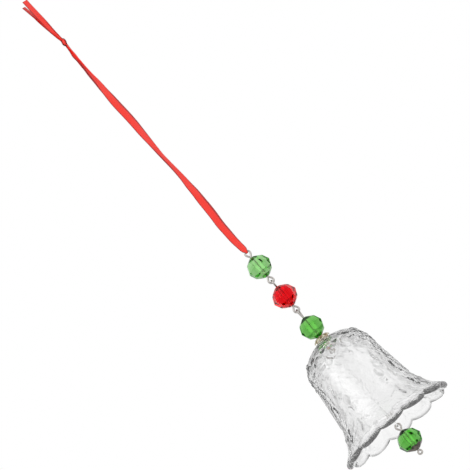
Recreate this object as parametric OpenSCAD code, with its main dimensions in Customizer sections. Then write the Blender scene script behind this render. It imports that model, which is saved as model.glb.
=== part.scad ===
// Glass bell chime on a ribbon
// A pressed glass bell with a scalloped rim hangs under three faceted glass beads,
// and a fourth bead is its clapper. Looped wire pins link them, and a satin ribbon,
// doubled and knotted, carries the whole string.
// The origin is the point it hangs by, inside the ribbon loop just under the knot.
// Up is +Z, and the side that faces the viewer is -Y.

/* [Ribbon] */
// Width of the ribbon laid flat
ribbon_w = 3; // [2:0.1:4]
// Thickness of the satin
ribbon_t = 0.35; // [0.2:0.05:0.4]
// Width of the knot that closes the loop
knot_w = 2.6; // [2:0.1:5]
// Height of the knot
knot_h = 3.6; // [3:0.1:6]

/* [Wire] */
// Diameter of the plated wire
wire_d = 0.8; // [0.6:0.05:0.9]
// Inside diameter of an eye that links to another
eye_id = 1.4; // [1.3:0.1:2.4]
// Distance from the centre of an eye to its neck
eye_reach = 2.1; // [1.9:0.1:3]
// The same distance on the long eye above the lower bead
long_eye_reach = 3; // [2.2:0.1:4]
// Turn of the long eye away from edge-on, in degrees
long_eye_turn = 15; // [0:1:15]
// Inside diameter of the eye at the bottom end
end_eye_id = 0.8; // [0.6:0.1:1.6]
// Distance from the centre of the bottom eye to its neck
end_eye_reach = 1.3; // [1.2:0.1:2.4]
// Straight wire between the two eyes of the clapper link
link_l = 33; // [26:0.5:36]

/* [Beads] */
// Diameter of a bead across its equator
bead_d = 10; // [8.6:0.2:12]
// Length of a bead along its bore
bead_l = 9.6; // [8:0.2:12]
// Diameter at the shoulder, where the large facets turn in
shoulder_d = 8.2; // [7:0.1:8.4]
// Distance between the two shoulders
shoulder_l = 5.6; // [4:0.2:7]
// Diameter of the flat at each end
bead_end_d = 3.4; // [2.4:0.2:5]
// Facets in each row
bead_facets = 10; // [8:1:14]

/* [Bead cap] */
// Diameter over the petals
cap_d = 7.4; // [6:0.2:10]
// Diameter of the flat top under the bead
cap_top_d = 3.6; // [2.8:0.2:5]
// Height of the cap
cap_h = 1.9; // [1.2:0.1:3]
// Thickness of the stamped brass
cap_t = 0.35; // [0.25:0.05:0.5]
// Number of petals
petals = 8; // [6:1:10]
// Diameter of one petal's round end
petal_d = 2.2; // [1.6:0.1:2.8]
// Diameter of the hole pierced in each petal
petal_hole_d = 0.7; // [0.4:0.1:1]

/* [Bell] */
// Height of the bell, from the lobes of the rim to the crown
bell_h = 46; // [40:0.5:60]
// Diameter where the dome meets the body
dome_d = 29; // [26:0.5:34]
// Height of the dome
dome_h = 10.5; // [8:0.5:14]
// Diameter at the waist, where the flare begins
waist_d = 35; // [31:0.5:40]
// Height of the waist above the rim
waist_h = 13.5; // [10:0.5:18]
// Slope of the wall at the waist, from upright
waist_slope = 24; // [16:1:30]
// Diameter over the lobes of the rim
rim_d = 51; // [47:0.5:60]
// Depth of the notch between two lobes
lobe_depth = 1.8; // [1:0.1:3.5]
// Slope of the flare at the rim, from level
rim_slope = 38; // [30:1:48]
// Number of lobes round the rim
lobes = 12; // [8:1:16]
// Thickness of the glass wall
bell_wall = 2; // [1.4:0.1:2.6]
// Thickness of the rounded lip
lip_t = 2.6; // [1.6:0.1:3]
// Thickness of the crown at the hole
crown_t = 2.5; // [2:0.1:4]
// Diameter of the hole moulded in the crown
crown_hole_d = 4; // [2.4:0.2:4.4]
// Diameter of the washer that holds the bell up on the wire
washer_d = 6; // [5.4:0.2:7]
// Thickness of the washer
washer_t = 0.6; // [0.4:0.1:1]

/* [Relief on the bell] */
// How far the pressed pattern stands off the glass
relief_h = 0.5; // [0.3:0.05:0.6]
// Number of leaves round the bell
leaves = 4; // [3:1:5]
// Width of a leaf
leaf_w = 13; // [9:0.5:15]
// Width of a leaf's ribs
rib_w = 1.6; // [1.2:0.1:2]
// Veins on each side of a leaf's midrib
veins = 3; // [2:1:4]
// Slant of the veins, from upright
vein_slant = 45; // [35:1:60]
// Height of a leaf's tip above the waist, and of the dome above its other end
leaf_gap = 1; // [0.5:0.5:4]
// Diameter of a round boss where it meets the glass
boss_d = 3; // [2.4:0.1:3.6]
// Number of bosses in the band round the shoulder
shoulder_bosses = 12; // [8:1:14]

/* [Clearances] */
// Gap between two linked wires
link_gap = 0.08; // [0.04:0.01:0.1]
// Radial gap between a bore and the wire that runs in it
bore_gap = 0.07; // [0.03:0.01:0.1]
// Gap between pieces that rest on each other along a wire
seat_gap = 0.1; // [0.05:0.05:0.2]
// Gap between the ribbon's fold and the eye that hangs in it
fold_gap = 0.2; // [0.15:0.05:0.4]

/* [Hidden] */
$fn = 48;

// The two strands of the ribbon loop run side by side up this route from the top eye
// to the knot: sideways place, height, turn of the flat face, the share of its width
// that the ribbon keeps where it is gathered, and half the distance between the strands.
loop_route = [
    [ 0.0, -107, 0, 0.40, 0.75], [ 0.0, -106, 0, 0.75, 0.65], [-0.1, -104, 4, 0.9, 0.40],
    [-0.3, -101, 10, 1, 0.28], [-0.5, -97, 12, 1, 0.24], [-0.6, -93, 8, 1, 0.24],
    [-0.5, -89, 4, 1, 0.24], [-0.4, -85, 0, 1, 0.24], [-0.2, -81, 6, 1, 0.24],
    [-0.1, -77, 20, 1, 0.24], [ 0.0, -73, 34, 1, 0.24], [ 0.1, -69, 48, 1, 0.24],
    [ 0.1, -65, 58, 1, 0.24], [ 0.1, -61, 66, 1, 0.24], [ 0.1, -57, 66, 1, 0.24],
    [ 0.0, -53, 56, 1, 0.24], [ 0.0, -49, 44, 1, 0.24], [-0.1, -45, 30, 1, 0.24],
    [-0.2, -40, 20, 1, 0.24], [-0.2, -35, 12, 1, 0.24], [-0.3, -30, 12, 1, 0.24],
    [-0.3, -26, 22, 1, 0.24], [-0.3, -22, 36, 1, 0.24], [-0.2, -18, 50, 0.95, 0.24],
    [-0.1, -14, 56, 0.8, 0.24], [-0.1, -10, 56, 0.65, 0.24], [-0.1, -7, 52, 0.6, 0.24],
    [ 0.0, -4, 34, 0.6, 0.24], [ 0.0, -1, 15, 0.45, 0.24]];
// Each tail goes on from the knot: sideways place, depth, height, turn and share of width.
front_tail = [
    [ 0.0, -0.24, 2.4, 0, 0.40], [-0.1, -0.24, 5.5, 15, 0.45], [-0.2, -0.30, 9, 35, 0.65],
    [-0.3, -0.40, 13, 44, 0.85], [-0.5, -0.50, 17, 46, 1], [-0.6, -0.55, 21, 46, 1],
    [-0.7, -0.60, 25, 46, 1]];
back_tail = [
    [ 0.0, 0.24, 2.4, 0, 0.40], [-0.2, 0.24, 5.5, 15, 0.45], [-0.5, 0.35, 9, 40, 0.65],
    [-0.9, 0.50, 13, 52, 0.85], [-1.5, 0.60, 17, 60, 1], [-2.1, 0.70, 20.5, 64, 1],
    [-2.6, 0.75, 23.5, 66, 1]];
// Height of the ribbon's fold, where the top eye hangs from it
fold_z = -107.8;
knot_z = 2.4;
// Steps in the quarter turn of each strand round the wire of the top eye, and the
// share of its width that the ribbon keeps there
fold_steps = 3;
fold_w = 0.25;

// Share of a bend's length by which each of its ends keeps its own direction
bend_pull = 0.34;
// Steps in each curve of the bell's wall, and in the half turn round its lip
wall_steps = 10;
lip_steps = 9;
// How far the bell's wall reaches past the outline that trims it
trim = 0.3;

// Place of the band round the shoulder, as an angle on the dome from its top
shoulder_angle = 71;
// Turn of the lower bosses from the upper ones, and their heights as shares of a leaf's length
boss_turn = 15;
high_boss = 0.62;
low_boss = 0.3;
// Where the turned surface starts and ends: on plain glass between two bosses
seam_turn = 180 / leaves - boss_turn / 2;

wire_r = wire_d / 2;
bore_r = wire_r + bore_gap;
// Radius of an eye, to the middle of its wire
eye_r = eye_id / 2 + wire_r;
end_eye_r = end_eye_id / 2 + wire_r;
// Distance between the middles of two wires that rest on each other
hang = wire_d + link_gap;
// A joint in the wire is covered by a ball this much larger than the wire
joint_r = wire_r * 1.03;
// Straight and curved wire both stop this short of the joint that they share
joint_cut = 0.05;

// Heights down the string, each from the one above
top_neck_z = fold_z - eye_r - eye_reach;
top_bead_z = top_neck_z - seat_gap - bead_l / 2;
top_low_z = top_bead_z - bead_l / 2 - seat_gap;
middle_eye_z = top_low_z - eye_reach - eye_r + hang;
middle_neck_z = middle_eye_z - eye_r - eye_reach;
middle_bead_z = middle_neck_z - seat_gap - bead_l / 2;
middle_low_z = middle_bead_z - bead_l / 2 - seat_gap;
bell_eye_z = middle_low_z - eye_reach - eye_r + hang;
bell_neck_z = bell_eye_z - eye_r - long_eye_reach;
lower_bead_z = bell_neck_z - seat_gap - bead_l / 2;
cap_z = lower_bead_z - bead_l / 2 - seat_gap;

// The bell's own radii
rim_r = rim_d / 2;
dome_r = dome_d / 2;
waist_r = waist_d / 2;
dome_base_h = bell_h - dome_h;
leaf_l = dome_base_h - waist_h - 2 * leaf_gap;
// Lean of the wall from upright, between the waist and the dome
wall_lean = atan((waist_r - dome_r) / (dome_base_h - waist_h));
// Radius of a bar that meets flat glass over a rib's width and stands relief_h off it
rib_r = (rib_w * rib_w / 4 + relief_h * relief_h) / 2 / relief_h;
cap_r = cap_d / 2;
// Radius to the middle of a petal's round end, just inside the edge of the cap
petal_r = cap_r - petal_d / 2 - 0.05;
// Fall of the dome from the crown to the circle where the cap's petals rest
cap_fall = dome_h * (1 - sqrt(1 - pow(cap_r / dome_r, 2)));
crown_z = cap_z - cap_h - seat_gap + cap_fall;
rim_z = crown_z - bell_h;
washer_z = crown_z - crown_t - seat_gap;
inner_neck_z = washer_z - washer_t - seat_gap;
link_eye_z = inner_neck_z - eye_reach - eye_r + hang;
link_neck_z = link_eye_z - eye_r - eye_reach;
link_low_z = link_neck_z - link_l;
pin_eye_z = link_low_z - eye_reach - eye_r + hang;
pin_neck_z = pin_eye_z - eye_r - eye_reach;
clapper_z = pin_neck_z - seat_gap - bead_l / 2;
pin_low_z = clapper_z - bead_l / 2 - seat_gap;

function unit(v) = v / norm(v);
function arc(c, rx, rz, from, to, n) =
    [for (i = [0:n]) let (a = from + (to - from) * i / n) c + [rx * sin(a), rz * cos(a)]];
// Smooth line from p, where it runs along d, to q, where it runs along e
function bend(p, d, q, e, n) =
    let (pull = bend_pull * norm(q - p), a = p + pull * d, b = q - pull * e)
    [for (i = [0:n]) let (s = i / n, t = 1 - s)
        t * t * t * p + 3 * t * t * s * a + 3 * t * s * s * b + s * s * s * q];

// Flat section of the ribbon, eight sided, with its corners broken
function ribbon_section(w, t) = [
    [w / 2, t / 4], [w / 2 - t / 4, t / 2], [t / 4 - w / 2, t / 2], [-w / 2, t / 4],
    [-w / 2, -t / 4], [t / 4 - w / 2, -t / 2], [w / 2 - t / 4, -t / 2], [w / 2, -t / 4]];

// Rings of a strand: centre, turn and width. The fold goes a quarter turn under the
// eye's wire, the loop climbs to the knot and the tail goes on above it.
function strand(side, tail) =
    let (r = wire_r + fold_gap + ribbon_t / 2)
    concat(
        [for (i = [0:fold_steps]) let (a = 90 * i / fold_steps)
            [[0, side * r * sin(a), fold_z - r * cos(a)], 0, fold_w * ribbon_w]],
        [for (p = loop_route)
            [[p[0] - side * p[4] * sin(p[2]), side * p[4] * cos(p[2]), p[1]], p[2], p[3] * ribbon_w]],
        [for (p = tail) [[p[0], p[1], p[2]], p[3], p[4] * ribbon_w]]);

// One closed tube through all the rings. Its two broad faces are split along the same
// diagonals, so that the strands nest where they twist.
module ribbon(side, tail) {
    s = strand(side, tail);
    last = len(s) - 1;
    sides = 8;
    points = [for (i = [0:last]) let (
            way = i == 0 ? [0, side, 0] : unit(s[min(i + 1, last)][0] - s[i - 1][0]),
            across = [cos(s[i][1]), sin(s[i][1]), 0],
            out = unit(cross(way, across)),
            flat = cross(out, way))
        for (q = ribbon_section(s[i][2], ribbon_t)) s[i][0] + flat * q[0] + out * q[1]];
    walls = [for (i = [0:last - 1], k = [0:sides - 1]) let (
            a = i * sides + k, b = i * sides + (k + 1) % sides)
        each (k < sides / 2 ? [[a, a + sides, b], [b, a + sides, b + sides]]
            : [[a, a + sides, b + sides], [a, b + sides, b]])];
    ends = [for (k = [1:sides - 2]) each [
        [0, k, k + 1],
        [last * sides, last * sides + k + 1, last * sides + k]]];
    polyhedron(points, concat(walls, ends));
}

// A teardrop eye of wire in the XZ plane, hanging below its neck at the origin
module eye(r, reach) {
    lean = asin(r / reach);
    leg = sqrt(reach * reach - r * r);
    short = joint_cut / r * 180 / PI;
    sphere(joint_r);
    translate([0, 0, -reach]) rotate([90, 0, 0])
        rotate([0, 0, 180 - lean + short])
            rotate_extrude(angle = 180 + 2 * lean - 2 * short) translate([r, 0]) circle(wire_r);
    for (side = [-1, 1]) rotate([0, side * lean, 0]) {
        translate([0, 0, joint_cut - leg]) cylinder(r = wire_r, h = leg - joint_cut);
        translate([0, 0, -leg]) sphere(joint_r);
    }
}

// Straight wire between two heights
module shank(high, low) {
    translate([0, 0, low]) cylinder(r = wire_r, h = high - low);
}

// A pin with an eye turned at each end. Each turn is taken from the XZ plane.
module pin(high, low, high_reach, low_reach, high_turn, low_turn, low_r = eye_r) {
    shank(high, low);
    translate([0, 0, high]) rotate([0, 0, high_turn]) rotate([180, 0, 0]) eye(eye_r, high_reach);
    translate([0, 0, low]) rotate([0, 0, low_turn]) eye(low_r, low_reach);
}

// A round bead with five rings of facet corners, bored for the wire
module bead() {
    n = bead_facets;
    step = 360 / n;
    rings = [[bead_end_d / 2, -bead_l / 2, 0], [shoulder_d / 2, -shoulder_l / 2, 0.5],
             [bead_d / 2, 0, 0], [shoulder_d / 2, shoulder_l / 2, 0.5],
             [bead_end_d / 2, bead_l / 2, 0]];
    points = [for (g = rings, k = [0:n - 1]) let (a = (k + g[2]) * step)
        [g[0] * cos(a), g[0] * sin(a), g[1]]];
    // Corners of a ring that stands half a step on meet the two nearest of the next
    walls = [for (i = [0:3], k = [0:n - 1]) let (
            a = i * n + k, b = i * n + (k + 1) % n, c = a + n, d = b + n)
        each (i % 2 == 0 ? [[a, c, b], [b, c, d]] : [[a, c, d], [a, d, b]])];
    low_end = [for (k = [1:n - 2]) [0, k, k + 1]];
    high_end = [for (k = [1:n - 2]) [4 * n, 4 * n + k + 1, 4 * n + k]];
    difference() {
        rotate([0, 0, step / 2]) polyhedron(points, concat(walls, low_end, high_end));
        cylinder(r = bore_r, h = 2 * bead_l, center = true);
    }
}

// Outline of the bell in plan: round lobes that meet in notches
module rim_outline() {
    notch_r = rim_r - lobe_depth;
    centre_r = (rim_r * rim_r - notch_r * notch_r) / 2 / (rim_r - notch_r * cos(180 / lobes));
    circle(centre_r + 1);
    for (k = [0:lobes - 1]) rotate(360 * k / lobes - 90) translate([centre_r, 0])
        circle(rim_r - centre_r);
}

// Section of the glass wall, from the crown down the outside, round the lip and back.
// The lip reaches a little past the lobes' outline, which then trims it.
module bell_section() {
    lip_r = lip_t / 2;
    base = dome_base_h;
    lip = [rim_r + trim - lip_r, lip_r];
    down = [sin(waist_slope), -cos(waist_slope)];
    away = [cos(rim_slope), -sin(rim_slope)];
    side = lip_r * [sin(rim_slope), cos(rim_slope)];
    lip_step = 180 / lip_steps;
    polygon(concat(
        arc([0, base], dome_r, dome_h, 0, 90, wall_steps),
        bend([waist_r, waist_h], down, lip + side, away, wall_steps),
        arc(lip, lip_r, lip_r, rim_slope + lip_step, rim_slope + 180 - lip_step, lip_steps - 2),
        bend(lip - side, -away, [waist_r - bell_wall, waist_h], -down, wall_steps),
        [for (p = arc([0, base], dome_r - bell_wall, dome_h - bell_wall, 90, 0, wall_steps))
            [p[0], min(p[1], bell_h - crown_t)]]));
}

// Places a form on the outside of the bell, at radius and height p and at a turn from
// the front. Its Y runs up the glass and its Z stands off it, rise degrees from level.
module on_glass(turn, p, rise) {
    rotate(turn - 90) translate([p[0], 0, p[1]]) rotate([0, -rise, 0]) rotate([90, 0, 90])
        children();
}

// The same between the waist and the dome, at a share of a leaf's length above its tip
module on_wall(turn, share) {
    h = waist_h + leaf_gap + share * leaf_l;
    on_glass(turn, [waist_r - (h - waist_h) * tan(wall_lean), h], wall_lean) children();
}

// A rib up the glass that tapers to each end
module midrib() {
    translate([0, 0, relief_h - rib_r]) for (side = [-1, 1]) rotate([side * 90, 0, 0])
        cylinder(r1 = rib_r, r2 = rib_r - relief_h, h = leaf_l / 2);
}

// A vein from the midrib to the leaf's edge, where it dips under the glass
module vein(l) {
    translate([0, 0, relief_h - rib_r]) rotate([-90, 0, 0])
        translate([0, 0, -l / 2]) cylinder(r1 = rib_r, r2 = rib_r - relief_h, h = l);
}

// A leaf, point down, drawn by its midrib and slanting veins
module leaf(turn) {
    on_wall(turn, 0.5) midrib();
    for (side = [-1, 1], k = [1:veins]) {
        foot = (k - 0.5) / veins;
        reach = leaf_w / 2 * sin(180 * pow(foot, 0.8));
        wall_r = waist_r - foot * leaf_l * tan(wall_lean);
        on_wall(turn + side * reach / 2 / wall_r * 180 / PI,
                foot + reach / tan(vein_slant) / 2 / leaf_l)
            rotate(-side * vein_slant) vein(reach / sin(vein_slant));
    }
}

// A round boss with sloping sides and a flat top
module boss() {
    translate([0, 0, -relief_h])
        cylinder(r1 = boss_d / 2 + relief_h, r2 = boss_d / 2 - relief_h, h = 2 * relief_h);
}

// One upper boss and the two below it, between two leaves
module bosses(turn) {
    on_wall(turn, high_boss) boss();
    for (side = [-1, 1]) on_wall(turn + side * boss_turn, low_boss) boss();
}

// A boss of the band round the shoulder
module shoulder_boss(turn) {
    p = [dome_r * sin(shoulder_angle), dome_base_h + dome_h * cos(shoulder_angle)];
    on_glass(turn, p, atan2(cos(shoulder_angle) / dome_h, sin(shoulder_angle) / dome_r)) boss();
}

module ribbon_front_strand() { color("crimson") ribbon(-1, front_tail); }

module ribbon_back_strand() { color("firebrick") ribbon(1, back_tail); }

// The knot is drawn as the plain barrel that its turns fill
module ribbon_knot() {
    color("red") translate([0, 0, knot_z]) rotate_extrude()
        polygon(arc([0, 0], knot_w / 2, knot_h / 2, 0, 180, 12));
}

module top_bead_pin() {
    color("silver") pin(top_neck_z, top_low_z, eye_reach, eye_reach, 0, 0);
}

module top_bead() { color("lightgreen") translate([0, 0, top_bead_z]) bead(); }

module middle_bead_pin() {
    color("silver") pin(middle_neck_z, middle_low_z, eye_reach, eye_reach, 90, 0);
}

module middle_bead() { color("red") translate([0, 0, middle_bead_z]) bead(); }

// The long wire through the lower bead, the cap and the crown
module bell_wire() {
    color("silver")
        pin(bell_neck_z, inner_neck_z, long_eye_reach, eye_reach, 90 - long_eye_turn, 0);
}

module lower_bead() { color("forestgreen") translate([0, 0, lower_bead_z]) bead(); }

// A stamped flower that spreads the bead's weight over the crown
module bead_cap() {
    flat_r = cap_top_d / 2;
    fall = cap_r - flat_r;
    color("gold") translate([0, 0, cap_z]) difference() {
        intersection() {
            rotate_extrude() polygon(concat(
                [[0, 0]],
                arc([flat_r, -cap_h], fall, cap_h, 0, 90, 6),
                arc([flat_r, -cap_h], fall - cap_t, cap_h - cap_t, 90, 0, 6),
                [[0, -cap_t]]));
            translate([0, 0, -2 * cap_h]) linear_extrude(3 * cap_h) {
                circle(petal_r);
                for (k = [0:petals - 1]) rotate(360 * k / petals)
                    translate([petal_r, 0]) circle(petal_d / 2);
            }
        }
        cylinder(r = bore_r, h = 4 * cap_h, center = true);
        for (k = [0:petals - 1]) rotate(360 * k / petals) translate([petal_r, 0, 0])
            cylinder(d = petal_hole_d, h = 4 * cap_h, center = true);
    }
}

module crown_washer() {
    color("gray") translate([0, 0, washer_z - washer_t]) difference() {
        cylinder(d = washer_d, h = washer_t);
        translate([0, 0, -washer_t]) cylinder(r = bore_r, h = 3 * washer_t);
    }
}

module glass_bell() {
    color("lightcyan") translate([0, 0, rim_z]) {
        difference() {
            intersection() {
                rotate(seam_turn - 90) rotate_extrude() bell_section();
                translate([0, 0, -1]) linear_extrude(bell_h + 2) rim_outline();
            }
            cylinder(d = crown_hole_d, h = 2 * bell_h);
        }
        for (k = [0:leaves - 1]) {
            leaf(360 * k / leaves);
            bosses(360 * (k + 0.5) / leaves);
        }
        for (k = [0:shoulder_bosses - 1]) shoulder_boss(360 * k / shoulder_bosses);
    }
}

module clapper_link() {
    color("silver") pin(link_neck_z, link_low_z, eye_reach, eye_reach, 90, 90);
}

module clapper_pin() {
    color("silver") pin(pin_neck_z, pin_low_z, eye_reach, end_eye_reach, 0, 0, end_eye_r);
}

module clapper_bead() { color("green") translate([0, 0, clapper_z]) bead(); }

ribbon_front_strand();
ribbon_back_strand();
ribbon_knot();
top_bead_pin();
top_bead();
middle_bead_pin();
middle_bead();
bell_wire();
lower_bead();
bead_cap();
crown_washer();
glass_bell();
clapper_link();
clapper_pin();
clapper_bead();
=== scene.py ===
import math

import bmesh
import bpy
import numpy as np
from mathutils import Matrix, Vector


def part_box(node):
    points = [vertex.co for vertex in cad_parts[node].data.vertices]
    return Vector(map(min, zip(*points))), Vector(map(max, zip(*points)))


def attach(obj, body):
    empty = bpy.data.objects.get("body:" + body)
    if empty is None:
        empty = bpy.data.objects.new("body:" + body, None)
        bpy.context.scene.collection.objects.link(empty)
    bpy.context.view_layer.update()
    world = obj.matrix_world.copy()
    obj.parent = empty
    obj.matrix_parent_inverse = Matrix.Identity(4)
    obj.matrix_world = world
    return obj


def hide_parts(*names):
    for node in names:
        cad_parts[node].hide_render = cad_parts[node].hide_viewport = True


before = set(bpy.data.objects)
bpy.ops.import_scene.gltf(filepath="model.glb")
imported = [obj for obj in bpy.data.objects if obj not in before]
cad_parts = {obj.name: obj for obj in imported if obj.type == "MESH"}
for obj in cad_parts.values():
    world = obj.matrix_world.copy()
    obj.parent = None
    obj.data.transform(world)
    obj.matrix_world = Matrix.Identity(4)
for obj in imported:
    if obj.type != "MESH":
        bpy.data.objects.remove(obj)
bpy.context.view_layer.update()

# A glass bell chime. A pressed glass bell hangs under three faceted beads on looped wire
# pins, a fourth bead is its clapper, and a knotted satin ribbon carries the string.
# Lengths are in metres. The ribbon's hanging point is the origin, and the front is -Y.

MM = 0.001

# Places on the string, from the frame
RIM_Z, CROWN_Z = (corner.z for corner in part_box("glass_bell"))
RIM_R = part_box("glass_bell")[1].x

# Camera: a long lens that looks up a little at the hanging string. The string leans to
# the lower right of the frame, so the camera is rolled by the same angle.
CAMERA_DISTANCE = 4.0
CAMERA_LENS, CAMERA_SENSOR = 783, 36
CAMERA_SEES = (0.01, 100)
CAMERA_LOOKS_UP = math.radians(8.7)
STRING_LEAN = math.radians(41.0)
CAMERA_AIM = Vector((1, 0, -100)) * MM

# Soft lamps: place, width and watts, and the point that they face
LAMPS = [("key", (-1.0, -1.4, 1.0), 1.8, 12), ("fill", (1.5, -1.0, 0.3), 1.8, 6)]
LAMP_AIM = Vector((0, 0, -0.1))

# The room that glass and metal see. A height runs from -1 straight down to 1 straight up,
# and the room is brightest between the two ranges.
OVERHEAD_STARTS, OVERHEAD_ENDS, OVERHEAD_LEVEL = 0.17, 0.8, 0.5
UNDER_ENDS, UNDER_STARTS, UNDER_LEVEL = -0.75, -0.25, 0.18
BANDS, BAND_LEVEL = 8, 0.66
# Strength of the even light that matt surfaces get
EVEN_LIGHT = 0.85
FLOOR_HALF, FLOOR_Z = 3, -1.2

# Ribbon
RIBBON_W = 3 * MM
RIBBON_T = 0.22 * MM
KNOT_Z = 2.4 * MM
# Height of the ribbon's fold, where the top eye hangs from it, and the bend's radius
FOLD_Z = -107.8 * MM
FOLD_R = 0.775 * MM
# Shares of the ribbon's width that it keeps as it comes through the eye and up past it
FOLD_SHARES = (0.33, 0.33, 0.33, 0.44)
# Points on the way from the top eye up to the knot: sideways place, height, turn of the
# flat face in degrees, share of its width that the ribbon keeps where it is gathered,
# and half the distance between the two strands
LOOP_ROUTE = [
    (-0.0001, -0.107, 0, 0.76, 0.00075), (-0.0002, -0.106, 0, 0.88, 0.00065),
    (-0.0004, -0.104, 4, 0.92, 0.00040), (-0.0006, -0.101, 10, 1, 0.00028),
    (-0.0006, -0.097, 12, 1, 0.00024), (-0.0006, -0.093, 8, 1, 0.00024),
    (-0.0003, -0.089, 4, 1, 0.00024), (-0.0001, -0.085, 0, 1, 0.00024),
    (0.0000, -0.081, 6, 1, 0.00024), (0.0002, -0.077, 18, 1, 0.00024),
    (0.0002, -0.073, 30, 1, 0.00024), (0.0003, -0.069, 44, 1, 0.00024),
    (0.0002, -0.065, 54, 1, 0.00024), (0.0000, -0.061, 58, 1, 0.00024),
    (-0.0002, -0.057, 58, 1, 0.00024), (-0.0002, -0.053, 48, 1, 0.00024),
    (-0.0002, -0.049, 36, 1, 0.00024), (-0.0002, -0.045, 26, 1, 0.00024),
    (-0.0001, -0.040, 16, 1, 0.00024), (-0.0002, -0.035, 12, 1, 0.00024),
    (-0.0004, -0.030, 12, 1, 0.00024), (-0.0004, -0.026, 20, 1, 0.00024),
    (-0.0004, -0.022, 34, 1, 0.00024), (-0.0004, -0.018, 50, 0.95, 0.00024),
    (-0.0006, -0.014, 56, 0.80, 0.00024), (-0.0006, -0.010, 54, 0.62, 0.00024),
    (-0.0005, -0.007, 40, 0.60, 0.00024), (-0.0004, -0.0045, 26, 0.68, 0.00024),
    (-0.0002, -0.0015, 15, 0.45, 0.00024)]
# How far each strand lies to its own side of the way, along the flat of the ribbon, and
# the heights between which that grows above the eye and fades under the knot
STRAND_SHIFT = 0.2 * MM
SHIFT_GROWS, SHIFT_FADES = (-0.107, -0.095), (-0.014, -0.030)
# Where it is gathered: folds across its width, their drift in radians for each mm along
# it, how far it cups where it lies flat, and the height over which both grow at the fold
PLEATS, PLEAT_DRIFT = 1.5, 0.15
CUP = 0.12 * MM
FOLD_CLEAR = 3 * MM
# A high power keeps the ribbon flat nearly to its rounded edges
EDGE_POWER = 12
RIBBON_COLUMNS, RIBBON_STEPS = 24, 5
# Shares of the width from the middle at which the painted shade along the edges starts and
# is full, and the weave's grains across the ribbon and in a length equal to its width
EDGE_SHADE_SHARES = (0.36, 0.45)
WEAVE_COUNT = (25, 60, 1)
# Points of each tail above the knot: sideways place, depth, height, turn, share of width
FRONT_TAIL = [
    (0.0000, -0.00024, 0.0024, 0, 0.42), (-0.0003, -0.00024, 0.0055, 15, 0.52),
    (-0.0005, -0.00030, 0.009, 35, 0.62), (-0.0006, -0.00040, 0.013, 46, 0.80),
    (-0.0008, -0.00050, 0.017, 46, 0.95), (-0.0009, -0.00055, 0.021, 46, 1),
    (-0.0010, -0.00060, 0.025, 46, 1)]
BACK_TAIL = [
    (0.0000, 0.00024, 0.0024, 0, 0.42), (-0.0004, 0.00024, 0.0055, 15, 0.52),
    (-0.0008, 0.00035, 0.009, 40, 0.62), (-0.0013, 0.00050, 0.013, 52, 0.80),
    (-0.0019, 0.00060, 0.017, 60, 1), (-0.0025, 0.00070, 0.0205, 64, 1),
    (-0.0030, 0.00075, 0.0235, 66, 1)]
# Knot: its lean, half sizes of its bulge, the share of its ends cut flat, and the folds
# round the bulge with their depth as a share and their twist from end to end
KNOT_LEAN = math.radians(14)
KNOT_X, KNOT_Y, KNOT_TALL = 0.72 * MM, 0.78 * MM, 1.5 * MM
KNOT_END = 0.04
KNOT_FOLDS, KNOT_FOLD_DEPTH, KNOT_TWIST = 3, 0.07, 2.5
# The bound edges of the turn round it: half width of their oval, how far they lie before
# and behind its middle, how far they slant, and half their thickness
WRAP_X, WRAP_DEPTH, WRAP_SLANT, WRAP_R = 0.78 * MM, 0.3 * MM, 0.2 * MM, 0.27 * MM
KNOT_ROWS, KNOT_COLUMNS, WRAP_POINTS = 16, 24, 36
# Places across the ribbon's width that the bulge and the edges show. The edges' place
# lies in the painted shade along the ribbon's edges
BULGE_U, BULGE_U_SPAN, EDGE_SHADE_U = 0.35, 0.3, 0.02
# Sides of every round wire and rolled edge
WIRE_SIDES = 10

# Bell: sizes of the wall, with heights above the rim
BELL_H = CROWN_Z - RIM_Z
DOME_R, DOME_H = 14.5 * MM, 10.5 * MM
DOME_BASE = BELL_H - DOME_H
WAIST_R, WAIST_H = 17.5 * MM, 13.5 * MM
WAIST_SLOPE, RIM_SLOPE = math.radians(24), math.radians(34)
WALL, CROWN_T, CROWN_HOLE_R = 2 * MM, 2.5 * MM, 2 * MM
LIP_R = 1.3 * MM
LOBES = 12
LOBE_DEPTH = 1.8 * MM
FRONT = -math.pi / 2
# Pull of the flare's curve as a share of its chord, points along the dome, steps along the
# flare, step of the even line through both, and the distance over which corners are eased
FLARE_PULL, DOME_POINTS, FLARE_STEPS = 0.34, 60, 80
LINE_STEP, CORNER_EASED = 0.2 * MM, 0.9 * MM
# The crown thickens from the first radius in to the second, and the wall thickens into
# the lip from the first distance from the lip's middle to the second
CROWN_THICKENS, LIP_THICKENS = (6 * MM, 2 * MM), (5 * MM, 1 * MM)
# The lip's haze starts at the first distance from its middle and is full at the second
LIP_HAZE = (3 * LIP_R, 1.2 * LIP_R)
BELL_COLUMNS, OUTER_ROWS, INNER_ROWS, LIP_ROWS = 480, 260, 90, 15

# Relief: how far it stands off the glass, and how wide its lines are
RELIEF_H = 0.55 * MM
LINE_W = 0.65 * MM
LEAVES = 4
LEAF_FOOT, LEAF_L, LEAF_W = WAIST_H + 1 * MM, 20 * MM, 13 * MM
VEINS = 7
VEIN_W = 0.6 * MM
VEIN_SLANT = math.radians(45)
# A leaf's fullest place moves down, towards its point, as this power falls. Its side is
# soft over twice the next distance, and its edge line fades where half its width is less
# than the last.
LEAF_POWER, LEAF_SOFT, LEAF_TIP = 0.8, 0.7 * MM, 1.5 * MM
# Shares of the relief's height that a leaf's body, edge and veins have
BODY_SHARE, EDGE_SHARE, VEIN_SHARE = 0.12, 0.25, 0.18
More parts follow.
